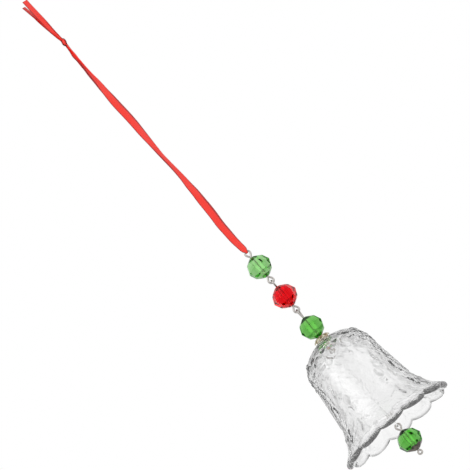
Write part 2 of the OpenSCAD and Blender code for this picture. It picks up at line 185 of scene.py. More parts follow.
# Rings and bosses: height above the rim, half width and half height of each
RINGS = 12
BAND_RING = (38.4 * MM, 2.9 * MM, 2.3 * MM)
BAND_HIGH_BOSS, BAND_LOW_BOSS = (41.3 * MM, 1.2 * MM, 0.8 * MM), (35.6 * MM, 1.3 * MM, 0.8 * MM)
LEAF_RING = (33.6 * MM, 1.9 * MM, 1.7 * MM)
LONG_BOSS = (26.5 * MM, 1.3 * MM, 2.7 * MM)
PAIR_BOSS, PAIR_TURN, PAIR_LEAN = (20 * MM, 1.3 * MM, 2 * MM), math.radians(15), 0.25
DROP_BOSS, DROP_TURN = (9 * MM, 1.1 * MM, 2.6 * MM), math.radians(12)
LOW_BOSS_SHARE = 0.7
# A higher power gives a boss a flatter top and a steeper side
BOSS_POWER = 2.4
# Half the share of its height that a ring loses where it is most worn, and the turn of
# the worn sides from one ring to the next, in radians
WEAR, LEAF_RING_WEAR, BAND_RING_WEAR = 0.4, 2.1, 1.7
# The line above the lobes: its height over a notch, its rise over the middle of a lobe,
# and its share of the relief's height
HEM_H, HEM_RISE, HEM_SHARE = 8.2 * MM, 1.8 * MM, 0.35
# The relief fades in over these distances below the crown and above the lip
RELIEF_UNDER_CROWN, RELIEF_OVER_LIP = (1 * MM, 3 * MM), (3 * MM, 5 * MM)

# Bead cap, as the CAD cap is cut
CAP_TOP_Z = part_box("bead_cap")[1].z
CAP_R, CAP_FLAT_R, CAP_H = 3.7 * MM, 1.8 * MM, 1.9 * MM
PETALS = 8
# Wires of a petal, its outline and its inner loop: nearest and furthest reach from the axis,
# half width, and wire radius. Each is narrower towards the axis by the taper.
PETAL_WIRES = [(1.35 * MM, 3.52 * MM, 1.05 * MM, 0.2 * MM), (2 * MM, 3 * MM, 0.42 * MM, 0.14 * MM)]
PETAL_TAPER, PETAL_POINTS = 0.25, 28
GRAIN_R, GRAIN_AT = 0.3 * MM, 3.05 * MM
COLLAR_R, COLLAR_WIRE_R, COLLAR_POINTS = 1.25 * MM, 0.26 * MM, 40
# The dished plate: its middle radius and wave at the edge, and its section, as share of
# the way out and depth under the cap's outside
PLATE_R, PLATE_WAVE, PLATE_COLUMNS = 3.2 * MM, 0.3 * MM, 64
PLATE_SECTION = [(0, 0.3 * MM), (0.4, 0.3 * MM), (0.7, 0.36 * MM), (1, 0.42 * MM),
                 (1, 0.58 * MM), (0.7, 0.52 * MM), (0.4, 0.46 * MM), (0, 0.46 * MM)]

# Beads: facets in a belt, half the length along the bore, and radius of the bore
FACETS = 8
BEAD_HALF_L, BORE_R = 4.8 * MM, 0.55 * MM
# Belts of facets: latitude in degrees, turn in facets, and distance from the centre
FACET_BELTS = [(22.5, 0, 4.56 * MM), (-22.5, 0, 4.56 * MM), (57, 0.5, 4.6 * MM),
               (-57, 0.5, 4.6 * MM)]
# The cube that a bead is cut from, the width of its eased edges, and the sides of its bore
BLANK, EASED_EDGE, BORE_SIDES = 12 * MM, 0.07 * MM, 32
# Corners closer than the first are one corner, and a cut lies true to the second
SAME_CORNER, CUT_TRUE = 0.01 * MM, 0.0001 * MM
# The clapper bead's dark coat, a painted dark reflection, lies on facets whose normals
# reach below this
DARK_REFLECTION_FACES = -0.7

# Colours, as sRGB hex values
HEX = {
    # The satin edge red is painted shade along the ribbon's edges
    "satin": "FF3622", "satin_low": "D8221A", "satin_edge_shade": "9C1014", "satin_sheen": "FF6A50",
    "light_green": "B8EFA1", "red": "FF3364", "green": "C2F0AC",
    "clear": "C0C0C0", "plated": "BCB8B4", "bright": "F4F4F4", "gilt": "FFFBE4", "gilt_dark": "DCB074",
    # The smoke greys are a painted dark reflection on the clapper's lowest facets
    "dark_reflection": "6E6860", "darker_reflection": "3C3834", "floor": "F4F4F4",
}


def linear(hex_colour):
    """The linear RGBA of an sRGB hex colour."""
    levels = [int(hex_colour[i:i + 2], 16) / 255 for i in (0, 2, 4)]
    return [v / 12.92 if v <= 0.04045 else ((v + 0.055) / 1.055) ** 2.4 for v in levels] + [1]


def smooth(low, high, x):
    """A smooth step from 0 at low to 1 at high."""
    t = np.clip((x - low) / (high - low), 0, 1)
    return t * t * (3 - 2 * t)


# Materials

def node(tree, kind, inputs=None, **settings):
    """Adds a node. An input is a value for its socket, or another node's output."""
    made = tree.nodes.new(kind)
    for key, value in settings.items():
        setattr(made, key, value)
    for key, value in (inputs or {}).items():
        if isinstance(value, bpy.types.NodeSocket):
            tree.links.new(value, made.inputs[key])
        else:
            made.inputs[key].default_value = value
    return made


def ranged(tree, value, low, high, to_low=0, to_high=1):
    """A value mapped from one range to another and held inside it."""
    made = node(tree, "ShaderNodeMapRange", {0: value, 1: low, 2: high, 3: to_low, 4: to_high})
    return made.outputs[0]


def mixed(tree, share, first, second):
    """The colour that lies at a share of the way from one colour to another."""
    made = node(tree, "ShaderNodeMix", {0: share, 6: first, 7: second}, data_type="RGBA")
    return made.outputs[2]


def patchy(tree, size, detail=2.0):
    """Uneven patches of a real size, fixed to the piece."""
    place = node(tree, "ShaderNodeTexCoord")
    made = node(tree, "ShaderNodeTexNoise", {"Vector": place.outputs["Object"], "Scale": 1 / size,
                                             "Detail": detail})
    return made.outputs[0]


def new_material(name):
    """A material whose tree has only its output."""
    material = bpy.data.materials.new(name)
    material.use_nodes = True
    material.node_tree.nodes.clear()
    return material, material.node_tree, material.node_tree.nodes.new("ShaderNodeOutputMaterial")


def satin_ribbon():
    """Woven polyester satin. Its weave is a fine grain, 0.12 mm across the ribbon by
    0.05 mm along it, that breaks up the sheen. Its edges are darker: painted shade where
    they turn from the light."""
    material, tree, out = new_material("satin_ribbon")
    uv = node(tree, "ShaderNodeUVMap", uv_map="ribbon")
    place = node(tree, "ShaderNodeSeparateXYZ", {0: uv.outputs[0]})
    across = node(tree, "ShaderNodeMath", {0: place.outputs[0], 1: 0.5}, operation="SUBTRACT")
    from_middle = node(tree, "ShaderNodeMath", {0: across.outputs[0]}, operation="ABSOLUTE")
    edge = ranged(tree, from_middle.outputs[0], *EDGE_SHADE_SHARES)
    stretch = node(tree, "ShaderNodeMapping", {0: uv.outputs[0], "Scale": WEAVE_COUNT})
    weave = node(tree, "ShaderNodeTexNoise", {"Vector": stretch.outputs[0], "Scale": 1.0,
                                              "Detail": 3.0}, noise_dimensions="2D")
    face = mixed(tree, weave.outputs[0], linear(HEX["satin_low"]), linear(HEX["satin"]))
    # Darker at the edges: painted shade where the ribbon's edges turn from the light
    colour = mixed(tree, edge, face, linear(HEX["satin_edge_shade"]))
    bump = node(tree, "ShaderNodeBump", {"Height": weave.outputs[0], "Strength": 0.25,
                                         "Distance": 0.05 * MM})
    shader = node(tree, "ShaderNodeBsdfPrincipled", {
        "Base Color": colour, "Roughness": 0.42, "Normal": bump.outputs[0],
        "Sheen Weight": 0.12, "Sheen Roughness": 0.4, "Sheen Tint": linear(HEX["satin_sheen"])})
    tree.links.new(shader.outputs[0], out.inputs[0])
    return material


def cut_glass(name, colour, density):
    """Pressed and polished coloured glass. Its flat facets give sharp, bright and dark
    patches, and its colour deepens with the glass that the light crosses."""
    material, tree, out = new_material(name)
    shader = node(tree, "ShaderNodeBsdfPrincipled", {
        "Base Color": (1, 1, 1, 1), "Roughness": 0.0, "IOR": 1.52, "Transmission Weight": 1.0,
        # Reflections tinted with the glass's colour: painted shade for the dark the front facets mirror
        "Specular Tint": [v ** 3 for v in linear(colour)]})
    inside = node(tree, "ShaderNodeVolumeAbsorption", {"Color": linear(colour), "Density": density})
    tree.links.new(shader.outputs[0], out.inputs["Surface"])
    tree.links.new(inside.outputs[0], out.inputs["Volume"])
    return material


def dark_reflection_coat():
    """A painted dark reflection on one end of a glass bead. It turns the facets there into
    brownish grey mirrors, darker in patches of about 2 mm."""
    material, tree, out = new_material("painted_dark_reflection_coat")
    darker_patches = ranged(tree, patchy(tree, 2 * MM), 0.4, 0.6)
    colour = mixed(tree, darker_patches, linear(HEX["dark_reflection"]), linear(HEX["darker_reflection"]))
    shader = node(tree, "ShaderNodeBsdfPrincipled", {
        "Base Color": colour, "Metallic": 1.0, "Roughness": 0.15})
    tree.links.new(shader.outputs[0], out.inputs[0])
    return material


def clear_glass():
    """Clear soda-lime glass pressed in an iron mould. Its skin is faintly wavy over 3
    or 4 mm and keeps a trace of haze, most on the lip, which was only flashed in the fire.
    It turns a little grey where the light crosses a lot of it."""
    material, tree, out = new_material("pressed_clear_glass")
    waves = patchy(tree, 3.5 * MM, 2.5)
    bump = node(tree, "ShaderNodeBump", {"Height": waves, "Strength": 1.0, "Distance": 0.32 * MM})
    lip = node(tree, "ShaderNodeAttribute", attribute_name="lip")
    passes = ranged(tree, lip.outputs["Fac"], 0, 1, 0.96, 0.93)
    shader = node(tree, "ShaderNodeBsdfPrincipled", {
        "Base Color": (1, 1, 1, 1), "Roughness": 0.0, "IOR": 1.5,
        "Transmission Weight": passes, "Normal": bump.outputs[0]})
    inside = node(tree, "ShaderNodeVolumeAbsorption", {"Color": linear(HEX["clear"]),
                                                       "Density": 24.0})
    tree.links.new(shader.outputs[0], out.inputs["Surface"])
    tree.links.new(inside.outputs[0], out.inputs["Volume"])
    return material


def plated_wire(name, colour):
    """Drawn steel wire with a bright plate. Its polish varies in patches of half a
    millimetre, so its highlights break up a little."""
    material, tree, out = new_material(name)
    rough = ranged(tree, patchy(tree, 0.5 * MM), 0, 1, 0.08, 0.22)
    shader = node(tree, "ShaderNodeBsdfPrincipled", {
        "Base Color": linear(colour), "Metallic": 1.0, "Roughness": rough})
    tree.links.new(shader.outputs[0], out.inputs[0])
    return material


def gilt_brass():
    """Stamped brass with a thin gilt wash, pale gold and browner in patches of 0.8 mm
    where the wash has worn."""
    material, tree, out = new_material("gilt_brass")
    gilded = ranged(tree, patchy(tree, 0.8 * MM), 0.3, 0.55)
    colour = mixed(tree, gilded, linear(HEX["gilt_dark"]), linear(HEX["gilt"]))
    shader = node(tree, "ShaderNodeBsdfPrincipled", {
        "Base Color": colour, "Metallic": 1.0, "Roughness": 0.25})
    tree.links.new(shader.outputs[0], out.inputs[0])
    return material


# Meshes

def new_piece(name, mesh, material):
    """An object of a mesh and one material, linked into the scene."""
    piece = bpy.data.objects.new(name, mesh)
    bpy.context.scene.collection.objects.link(piece)
    piece.data.materials.clear()
    piece.data.materials.append(material)
    return piece


def mesh_from(name, points, faces, is_smooth=True):
    """A mesh of points and faces."""
    mesh = bpy.data.meshes.new(name)
    mesh.from_pydata([tuple(p) for p in points], [], faces)
    mesh.validate()
    for polygon in mesh.polygons:
        polygon.use_smooth = is_smooth
    return mesh


def tube(path, radius, closed=False, sides=WIRE_SIDES):
    """Points and faces of a round wire along a path."""
    path = [Vector(p) for p in path]
    count = len(path)
    points, faces = [], []
    side = None
    for i, place in enumerate(path):
        ahead = path[(i + 1) % count if closed else min(i + 1, count - 1)]
        behind = path[i - 1 if closed else max(i - 1, 0)]
        way = (ahead - behind).normalized()
        side = way.cross(Vector((0, 0, 1)) if side is None else side.cross(way) * -1)
        side = side.normalized()
        up = side.cross(way)
        for k in range(sides):
            a = 2 * math.pi * k / sides
            points.append(place + radius * (side * math.cos(a) + up * math.sin(a)))
    for i in range(count if closed else count - 1):
        for k in range(sides):
            a, b = i * sides + k, i * sides + (k + 1) % sides
            c, d = (a + sides) % (count * sides), (b + sides) % (count * sides)
            faces.append((a, b, d, c))
    if not closed:
        faces.append(tuple(range(sides))[::-1])
        faces.append(tuple(range((count - 1) * sides, count * sides)))
    return points, faces


def spline(rows, per_step):
    """Catmull-Rom rows through the given ones, with per_step of them in each step."""
    rows = np.array(rows, float)
    padded = np.vstack([2 * rows[0] - rows[1], rows, 2 * rows[-1] - rows[-2]])
    out = []
    for i in range(len(rows) - 1):
        a, b, c, d = padded[i:i + 4]
        for t in np.arange(per_step) / per_step:
            out.append(0.5 * (2 * b + (c - a) * t + (2 * a - 5 * b + 4 * c - d) * t ** 2
                              + (3 * b - a - 3 * c + d) * t ** 3))
    return np.array(out + [rows[-1]])


def strand_rows(side, tail):
    """Rows of a strand's centre, turn and share of width, from the fold to the tip."""
    rows = []
    for step, share in enumerate(FOLD_SHARES):
        a = math.pi / 2 * step / (len(FOLD_SHARES) - 1)
        rows.append((0, side * FOLD_R * math.sin(a), FOLD_Z - FOLD_R * math.cos(a), 0, share))
    for x, z, turn, share, half in LOOP_ROUTE:
        t = math.radians(turn)
        shift = STRAND_SHIFT * smooth(*SHIFT_GROWS, z) * smooth(*SHIFT_FADES, z)
        rows.append((x + side * (shift * math.cos(t) - half * math.sin(t)),
                     side * (shift * math.sin(t) + half * math.cos(t)), z, turn, share))
    return rows + list(tail)


def ribbon_strand(name, side, tail, material):
    """One strand of ribbon. Where it is gathered, its width is taken up in pleats."""
    rows = spline(strand_rows(side, tail), RIBBON_STEPS)
    centres = rows[:, :3]
    way = np.gradient(centres, axis=0)
    way[0] = (0, side, 0)
    way /= np.linalg.norm(way, axis=1)[:, None]
    turn = np.radians(rows[:, 3])
    share = np.clip(rows[:, 4], FOLD_SHARES[0], 1)
    across = np.stack([np.cos(turn), np.sin(turn), 0 * turn], axis=1)
    out = np.cross(way, across)
    out /= np.linalg.norm(out, axis=1)[:, None]
    flat = np.cross(out, way)
    s = np.linspace(-1, 1, RIBBON_COLUMNS + 1)
    run = np.concatenate([[0], np.cumsum(np.linalg.norm(np.diff(centres, axis=0), axis=1))])
    free = smooth(FOLD_Z, FOLD_Z + FOLD_CLEAR, centres[:, 2])
    high = RIBBON_W / (4 * PLEATS) * np.sqrt(1 - share ** 2) * free
    cup = CUP * share * free
    points, uvs = [], []
    for i in range(len(rows)):
        wave = high[i] * np.sin(math.pi * PLEATS * s + PLEAT_DRIFT * run[i] / MM) + cup[i] * s ** 2
        # The upper and lower faces meet at rounded edges
        half_t = RIBBON_T / 2 * np.sqrt(np.clip(1 - np.abs(s) ** EDGE_POWER, 0, 1))
        top = [(x, w + t) for x, w, t in zip(s * share[i] * RIBBON_W / 2, wave, half_t)]
        low = [(x, w - t) for x, w, t in zip(s * share[i] * RIBBON_W / 2, wave, half_t)]
        ring = top + low[-2:0:-1]
        ring_u = list(s) + list(s[-2:0:-1])
        for (x, y), u in zip(ring, ring_u):
            points.append(centres[i] + flat[i] * x + out[i] * y)
            uvs.append((u / 2 + 0.5, run[i] / RIBBON_W))
    size = len(points) // len(rows)
    faces = []
    for i in range(len(rows) - 1):
        for k in range(size):
            a, b = i * size + k, i * size + (k + 1) % size
            faces.append((a, b, b + size, a + size))
    faces.append(tuple(range(size))[::-1])
    faces.append(tuple(range((len(rows) - 1) * size, len(rows) * size)))
    mesh = mesh_from(name, points, faces)
    layer = mesh.uv_layers.new(name="ribbon")
    for loop in mesh.loops:
        layer.data[loop.index].uv = uvs[loop.vertex_index]
    piece = new_piece(name, mesh, material)
    return piece, centres


def ribbon_knot(material):
    """The overhand knot: the strands' bulge, and the turn of ribbon that is drawn round it,
    which shows its edges as a dark oval, in the same painted shade as the ribbon's edges."""
    points, faces, uvs = [], [], []

    def place(x, y, z):
        """A point of the upright knot, turned by its lean and set at its height."""
        return (x * math.cos(KNOT_LEAN) + z * math.sin(KNOT_LEAN), y,
                KNOT_Z - x * math.sin(KNOT_LEAN) + z * math.cos(KNOT_LEAN))

    rows, columns = KNOT_ROWS, KNOT_COLUMNS
    for i in range(rows + 1):
        b = math.pi * (KNOT_END + (1 - 2 * KNOT_END) * i / rows)
        for k in range(columns):
            a = 2 * math.pi * k / columns
            folds = 1 + KNOT_FOLD_DEPTH * math.cos(KNOT_FOLDS * a + KNOT_TWIST * b)
            points.append(place(KNOT_X * math.sin(b) * math.cos(a) * folds,
                                KNOT_Y * math.sin(b) * math.sin(a) * folds,
                                -KNOT_TALL * math.cos(b)))
            uvs.append((BULGE_U + BULGE_U_SPAN * abs(1 - k / columns * 2), i / rows))
    for i in range(rows):
        for k in range(columns):
            a, b = i * columns + k, i * columns + (k + 1) % columns
            faces.append((a, b, b + columns, a + columns))
    faces.append(tuple(range(columns))[::-1])
    faces.append(tuple(range(rows * columns, (rows + 1) * columns)))
    for side in (-1, 1):
        path = [place(WRAP_X * math.cos(a), side * WRAP_DEPTH + WRAP_SLANT * math.sin(a),
                      KNOT_TALL * math.sin(a))
                for a in np.linspace(0, 2 * math.pi, WRAP_POINTS, False)]
        more, sides = tube(path, WRAP_R, closed=True)
        faces += [tuple(k + len(points) for k in face) for face in sides]
        # The turn's rolled edges are coloured all in the painted shade of the ribbon's edges
        uvs += [(EDGE_SHADE_U, k / WIRE_SIDES) for k in range(len(more))]
        points += more
    mesh = mesh_from("ribbon_knot_wraps", points, faces)
    layer = mesh.uv_layers.new(name="ribbon")
    for loop in mesh.loops:
        layer.data[loop.index].uv = uvs[loop.vertex_index]
    return new_piece("ribbon_knot_wraps", mesh, material)


def applied(piece, modifier_kind, **settings):
    """The piece with one modifier applied to its mesh."""
    modifier = piece.modifiers.new("shape", modifier_kind)
    for key, value in settings.items():
        setattr(modifier, key, value)
    graph = bpy.context.evaluated_depsgraph_get()
    mesh = bpy.data.meshes.new_from_object(piece.evaluated_get(graph))
    piece.modifiers.clear()
    piece.data = mesh
    return piece


def facet_planes():
    """Normals and distances of a bead's facets. Two belts of large ones meet in corners
    round the equator, and a belt of small ones turns in to the flat at each end."""
    planes = []
    for latitude, turn, distance in FACET_BELTS:
        for k in range(FACETS):
            a = 2 * math.pi * (k + turn) / FACETS
            b = math.radians(latitude)
            normal = Vector((math.cos(b) * math.cos(a), math.cos(b) * math.sin(a), math.sin(b)))
            planes.append((normal, distance))
    planes += [(Vector((0, 0, 1)), BEAD_HALF_L), (Vector((0, 0, -1)), BEAD_HALF_L)]
    return planes


def faceted_bead(name, cad_node, turn, material):
    """A round glass bead, cut in flat facets with slightly eased edges, and drilled."""
    shape = bmesh.new()
    bmesh.ops.create_cube(shape, size=BLANK)
    for normal, distance in facet_planes():
        bmesh.ops.bisect_plane(shape, geom=shape.verts[:] + shape.edges[:] + shape.faces[:],
                               plane_co=normal * distance, plane_no=normal, clear_outer=True,
                               dist=CUT_TRUE)
        rim = [e for e in shape.edges if e.is_boundary]
        if rim:
            bmesh.ops.contextual_create(shape, geom=rim)
    bmesh.ops.remove_doubles(shape, verts=shape.verts, dist=SAME_CORNER)
    bmesh.ops.bevel(shape, geom=shape.edges[:], offset=EASED_EDGE, segments=1, affect="EDGES",
                    clamp_overlap=True)
    low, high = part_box(cad_node)
    middle = (low + high) / 2
    place = Matrix.Translation((0, 0, middle.z)) @ Matrix.Rotation(math.radians(turn), 4, "Z")
    shape.transform(place)
    mesh = bpy.data.meshes.new(name)
    shape.to_mesh(mesh)
    shape.free()
    piece = new_piece(name, mesh, material)
    drill = bmesh.new()
    bmesh.ops.create_cone(drill, cap_ends=True, segments=BORE_SIDES, radius1=BORE_R,
                          radius2=BORE_R, depth=BLANK,
                          matrix=Matrix.Translation((0, 0, middle.z)))
    drill_mesh = bpy.data.meshes.new("drill")
    drill.to_mesh(drill_mesh)
    drill.free()
    drill_piece = bpy.data.objects.new("drill", drill_mesh)
    bpy.context.scene.collection.objects.link(drill_piece)
    applied(piece, "BOOLEAN", operation="DIFFERENCE", object=drill_piece, solver="EXACT")
    bpy.data.objects.remove(drill_piece)
    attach(piece, cad_node)
    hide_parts(cad_node)
    return piece


# Bead cap

def cap_height(radius):
    """Height of the cap's outside at a radius: flat under the bead, then falling away."""
    off = np.clip((radius - CAP_FLAT_R) / (CAP_R - CAP_FLAT_R), 0, 1)
    return CAP_TOP_Z - CAP_H * (1 - np.sqrt(1 - off ** 2))


def petal_loops(turn):
    """Wires of one petal: its drop-shaped outline and a small loop in its middle."""
    loops = []
    for inner, outer, wide, wire in PETAL_WIRES:
        path = []
        for k in range(PETAL_POINTS):
            t = 2 * math.pi * k / PETAL_POINTS
            r = (inner + outer) / 2 - (outer - inner) / 2 * math.cos(t)
            across = wide * math.sin(t) * (1 - PETAL_TAPER - PETAL_TAPER * math.cos(t))
            a = turn + across / r
            path.append((r * math.cos(a), r * math.sin(a), cap_height(r) - wire))
        loops.append((path, wire))
    return loops


def filigree_cap(material):
    """The bead cap: eight petals of looped wire on a thin dished plate, with a grain of
    metal between each two."""
    shape = bmesh.new()

    def add(points, faces):
        """Adds points and the faces between them to the cap."""
        made = [shape.verts.new(p) for p in points]
        for face in faces:
            shape.faces.new([made[k] for k in face])

    for k in range(PETALS):
        turn = 2 * math.pi * k / PETALS
        for path, wire in petal_loops(turn):
            add(*tube(path, wire, closed=True))
        a = turn + math.pi / PETALS
        grain = (GRAIN_AT * math.cos(a), GRAIN_AT * math.sin(a), cap_height(GRAIN_AT) - GRAIN_R)
        bmesh.ops.create_icosphere(shape, subdivisions=2, radius=GRAIN_R,
                                   matrix=Matrix.Translation(grain))
    collar = [(COLLAR_R * math.cos(a), COLLAR_R * math.sin(a), CAP_TOP_Z - COLLAR_WIRE_R)
              for a in np.linspace(0, 2 * math.pi, COLLAR_POINTS, endpoint=False)]
    add(*tube(collar, COLLAR_WIRE_R, closed=True))
    plate, faces = [], []
    columns = PLATE_COLUMNS
    for share, low in PLATE_SECTION:
        for k in range(columns):
            a = 2 * math.pi * k / columns
            edge = PLATE_R + PLATE_WAVE * math.cos(PETALS * a)
            r = BORE_R + share * (edge - BORE_R)
            plate.append((r * math.cos(a), r * math.sin(a), cap_height(r) - low))
    for i in range(len(PLATE_SECTION)):
        for k in range(columns):
            a, b = i * columns + k, i * columns + (k + 1) % columns
            j = (i + 1) % len(PLATE_SECTION) * columns
            faces.append((a, b, j + (k + 1) % columns, j + k))
    add(plate, faces)
    bmesh.ops.recalc_face_normals(shape, faces=shape.faces)
    mesh = bpy.data.meshes.new("filigree_cap")
    shape.to_mesh(mesh)
    shape.free()
    for polygon in mesh.polygons:
        polygon.use_smooth = True
    piece = new_piece("filigree_cap", mesh, material)
    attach(piece, "bead_cap")
    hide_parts("bead_cap")
    return piece


# Bell

def cubic(p, d, q, e, n):
    """Smooth line from p, where it runs along d, to q, where it runs along e."""
    p, d, q, e = (np.array(v, float) for v in (p, d, q, e))
    pull = FLARE_PULL * np.linalg.norm(q - p)
    a, b = p + pull * d, q - pull * e
    s = np.linspace(0, 1, n + 1)[:, None]
    t = 1 - s
    return t ** 3 * p + 3 * t * t * s * a + 3 * t * s * s * b + s ** 3 * q


def lip_radius(angle):
    """Outer radius of the rim at an angle, in round lobes that meet in notches."""
    notch_r = RIM_R - LOBE_DEPTH
    step = math.pi / LOBES
    centre = (RIM_R ** 2 - notch_r ** 2) / 2 / (RIM_R - notch_r * math.cos(step))
    off = (angle - FRONT + step) % (2 * step) - step
    return centre * math.cos(off) + math.sqrt((RIM_R - centre) ** 2
                                              - (centre * math.sin(off)) ** 2)


def wall_line():
    """The middle of the glass, from the crown hole to the tip of a lobe, as radius and
    height in even steps. Its corners are eased as the mould eases them."""
    half = WALL / 2
    start = math.asin(CROWN_HOLE_R / (DOME_R - half))
    dome = [((DOME_R - half) * math.sin(a), DOME_BASE + (DOME_H - half) * math.cos(a))
            for a in np.linspace(start, math.pi / 2, DOME_POINTS)]
    down = (math.sin(WAIST_SLOPE), -math.cos(WAIST_SLOPE))
    away = (math.cos(RIM_SLOPE), -math.sin(RIM_SLOPE))
    flare = cubic((WAIST_R - half, WAIST_H), down, (RIM_R - LIP_R, LIP_R), away, FLARE_STEPS)
    line = np.vstack([dome, flare])
    run = np.concatenate([[0], np.cumsum(np.linalg.norm(np.diff(line, axis=0), axis=1))])
    count = int(run[-1] / LINE_STEP)
    even = np.stack([np.interp(np.linspace(0, run[-1], count), run, line[:, i]) for i in (0, 1)], 1)
    reach = int(3 * CORNER_EASED / LINE_STEP)
    weights = np.exp(-(np.arange(-reach, reach + 1) * LINE_STEP / CORNER_EASED) ** 2)
    weights /= weights.sum()
    before = 2 * even[0] - even[reach:0:-1]
    after = 2 * even[-1] - even[-2:-reach - 2:-1]
    padded = np.vstack([before, even, after])
    return np.stack([np.convolve(padded[:, i], weights, "valid") for i in (0, 1)], 1)


def stroke(x, y, start, end, wide):
    """Height share of a soft raised line between two points."""
    (x0, y0), (x1, y1) = start, end
    along = ((x - x0) * (x1 - x0) + (y - y0) * (y1 - y0)) / ((x1 - x0) ** 2 + (y1 - y0) ** 2)
    along = np.clip(along, 0, 1)
    off = (x - x0 - along * (x1 - x0)) ** 2 + (y - y0 - along * (y1 - y0)) ** 2
    return np.exp(-off / wide ** 2)


def boss(x, y, wide, tall, lean=0.0):
    """Height share of a soft oval boss."""
    across = x * math.cos(lean) + y * math.sin(lean)
    up = y * math.cos(lean) - x * math.sin(lean)
    return np.exp(-((across / wide) ** 2 + (up / tall) ** 2) ** BOSS_POWER)


def ring(x, y, wide, tall, wear):
    """Height share of a soft oval ring. The mould is worn on two sides of it, at a turn
    that wear sets."""
    off = np.abs(np.sqrt((x / wide) ** 2 + (y / tall) ** 2) - 1) * (wide + tall) / 2
    worn = 1 - WEAR + WEAR * np.sin(2 * np.arctan2(y, x) + wear)
    return np.exp(-(off / LINE_W) ** 2) * worn


def leaf(x, y):
    """Height share of a leaf, point down, with its edge, midrib and slanting veins."""
    share = np.clip(y / LEAF_L, 0, 1)
    half = LEAF_W / 2 * np.sin(math.pi * share ** LEAF_POWER)
    body = smooth(LEAF_SOFT, -LEAF_SOFT, np.abs(x) - half) * (y > 0) * (y < LEAF_L)
    edge = np.exp(-((np.abs(x) - half) / LINE_W) ** 2) * smooth(0, LEAF_TIP, half)
    lines = [stroke(x, y, (0, 0), (0, LEAF_L), VEIN_W)]
    for k in range(VEINS):
        foot = (k + 0.5) / VEINS
        reach = LEAF_W / 2 * math.sin(math.pi * foot ** LEAF_POWER)
        tip = (reach, foot * LEAF_L + reach / math.tan(VEIN_SLANT))
        lines.append(stroke(np.abs(x), y, (0, foot * LEAF_L), tip, VEIN_W))
    return BODY_SHARE * body + EDGE_SHARE * edge + VEIN_SHARE * np.max(lines, axis=0)


def relief(angle, radius, height):
    """Height share of the pressed relief over the outside of the bell."""
    def across(at):
        """Distance round the glass from an angle."""
        return ((angle - at + math.pi) % (2 * math.pi) - math.pi) * radius

    def placed(form, at, sizes, *more):
        """Height share of a form at an angle, from its height, half width and half height."""
        up, wide, tall = sizes
        return form(across(at), height - up, wide, tall, *more)

    forms = []
    for k in range(LEAVES):
        middle = FRONT + 2 * math.pi * k / LEAVES
        between = middle + math.pi / LEAVES
        forms.append(leaf(across(middle), height - LEAF_FOOT))
        forms.append(placed(ring, middle, LEAF_RING, LEAF_RING_WEAR * k))
        forms.append(placed(boss, between, LONG_BOSS))
        for side in (-1, 1):
            forms.append(placed(boss, between + side * PAIR_TURN, PAIR_BOSS, -side * PAIR_LEAN))
            forms.append(placed(boss, between + side * DROP_TURN, DROP_BOSS))
    for k in range(RINGS):
        middle = FRONT + 2 * math.pi * k / RINGS
        between = middle + math.pi / RINGS
        forms.append(placed(ring, middle, BAND_RING, BAND_RING_WEAR * k))
        forms.append(placed(boss, between, BAND_HIGH_BOSS))
        forms.append(LOW_BOSS_SHARE * placed(boss, between, BAND_LOW_BOSS))
    hem = HEM_H + HEM_RISE * abs(math.cos(LOBES / 2 * (angle - FRONT)))
    forms.append(HEM_SHARE * np.exp(-((height - hem) / LINE_W) ** 2))
    return np.max(forms, axis=0)


def pressed_bell(material):
    """The bell: its wall, thickened along the scalloped lip, with relief outside only."""
    line = wall_line()
    run = np.concatenate([[0], np.cumsum(np.linalg.norm(np.diff(line, axis=0), axis=1))])
    way = np.gradient(line, axis=0)
    normal = np.stack([-way[:, 1], way[:, 0]], 1)
    normal /= np.linalg.norm(normal, axis=1)[:, None]
    flaring = line[:, 1] < WAIST_H
    columns = BELL_COLUMNS
    points, on_lip = [], []
    for c in range(columns):
        angle = 2 * math.pi * c / columns
        lip_at = np.interp(lip_radius(angle) - LIP_R, line[flaring, 0], run[flaring])

        def face(share, side):
            """One face of the glass at shares of the way to the lip, with the middle of
            the glass and the way out there."""
            at = share * lip_at
            place = np.stack([np.interp(at, run, line[:, i]) for i in (0, 1)], 1)
            out = np.stack([np.interp(at, run, normal[:, i]) for i in (0, 1)], 1)
            crown = smooth(*CROWN_THICKENS, place[:, 0])
            bead = smooth(*LIP_THICKENS, lip_at - at)
            half = WALL / 2 + (CROWN_T - WALL) / 2 * crown + (LIP_R - WALL / 2) * bead
            return place + side * out * half[:, None], place, out

        outside, place, out = face(np.linspace(0, 1, OUTER_ROWS), 1)
        clear = smooth(*RELIEF_UNDER_CROWN, BELL_H - outside[:, 1])
        clear *= smooth(*RELIEF_OVER_LIP, np.linspace(lip_at, 0, OUTER_ROWS))
        raised = relief(angle, outside[:, 0], outside[:, 1]) * clear * RELIEF_H
        outside = outside + out * raised[:, None]
        end, facing = place[-1], out[-1]
        onward = np.array([facing[1], -facing[0]])
        roll = [end + LIP_R * (facing * math.cos(a) + onward * math.sin(a))
                for a in np.linspace(0, math.pi, LIP_ROWS + 2)[1:-1]]
        inside, _, _ = face(np.linspace(1, 0, INNER_ROWS), -1)
        for r, z in np.vstack([outside, roll, inside]):
            points.append((r * math.cos(angle), r * math.sin(angle), RIM_Z + z))
            on_lip.append(smooth(*LIP_HAZE, math.hypot(r - end[0], z - end[1])))
    rows = len(points) // columns
    faces = []
    for c in range(columns):
        for i in range(rows):
            a, b = c * rows + i, c * rows + (i + 1) % rows
            d = (c + 1) % columns * rows
            faces.append((a, b, d + (i + 1) % rows, d + i))
    mesh = mesh_from("pressed_bell", points, faces)
    mesh.attributes.new("lip", "FLOAT", "POINT").data.foreach_set("value", on_lip)
    shape = bmesh.new()
    shape.from_mesh(mesh)
    bmesh.ops.recalc_face_normals(shape, faces=shape.faces)
    shape.to_mesh(mesh)
    shape.free()
    piece = new_piece("pressed_bell", mesh, material)
    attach(piece, "bell")
    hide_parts("glass_bell")
    return piece


# Stage

